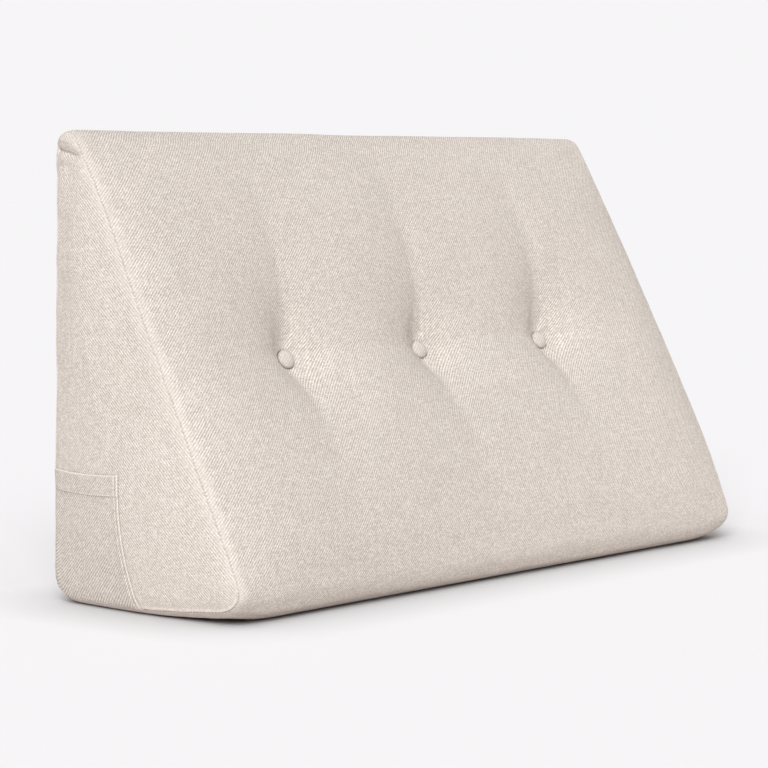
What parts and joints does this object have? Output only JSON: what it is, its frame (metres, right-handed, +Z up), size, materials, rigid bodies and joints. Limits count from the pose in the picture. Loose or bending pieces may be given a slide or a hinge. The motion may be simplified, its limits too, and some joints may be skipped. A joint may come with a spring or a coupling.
{
  "type": "wedge reading pillow",
  "caption": "Upholstered wedge pillow with a sloping button-tufted front, flat base, upright back and a small side pocket, for leaning on while reading.",
  "frame": {"origin": "middle of the flat base, under the centre of the bounding box", "axes": "+X along the width, away from the side with the pocket; +Y towards the upright back, so the sloping front faces -Y; +Z up"},
  "size_m": [0.9108, 0.2766, 0.5],
  "materials": {
    "upholstery": "matte linen-look twill in a light oatmeal beige",
    "pocket_cloth": "the same matte twill, cut along the warp",
    "button_cloth": "the same matte twill, stretched over a button form"
  },
  "bodies": {
    "root": {"cushion": "upholstery", "pocket": "pocket_cloth", "button_left": "button_cloth", "button_middle": "button_cloth", "button_right": "button_cloth"}
  },
  "joints": []
}
